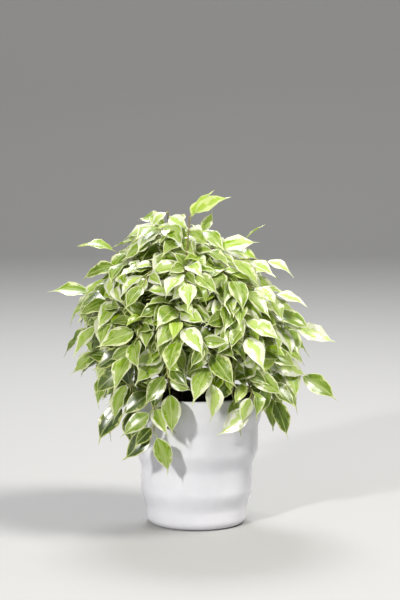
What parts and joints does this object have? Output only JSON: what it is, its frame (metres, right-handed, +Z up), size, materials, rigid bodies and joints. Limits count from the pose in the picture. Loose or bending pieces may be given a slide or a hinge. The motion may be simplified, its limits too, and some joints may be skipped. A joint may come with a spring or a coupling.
{
  "type": "potted weeping fig",
  "caption": "Young variegated weeping fig with a dome of cream-edged leaves, in a growing pot inside a white glazed cover pot with soft bands.",
  "frame": {"origin": "centre of the cover pot's flat foot, on the surface it stands on", "axes": "+Z up along the cover pot's axis; the picture looks along +Y, so -Y is the side it shows and +X is its right"},
  "size_m": [0.3592, 0.3198, 0.4167],
  "materials": {
    "white_glaze": "smooth glossy white glaze",
    "dark_plastic": "thin moulded plastic, satin, nearly black",
    "compost": "moist crumbly potting compost, matte dark brown",
    "foliage": "thin waxy leaves, green along the midrib with cream margins, on thin brown-barked stems"
  },
  "bodies": {
    "root": {"cover_pot": "white_glaze", "growing_pot": "dark_plastic", "compost": "compost", "leafy_stem_back_right": "foliage", "leafy_stem_back_left": "foliage", "leafy_stem_front_left": "foliage", "leafy_stem_front_right": "foliage"}
  },
  "joints": []
}
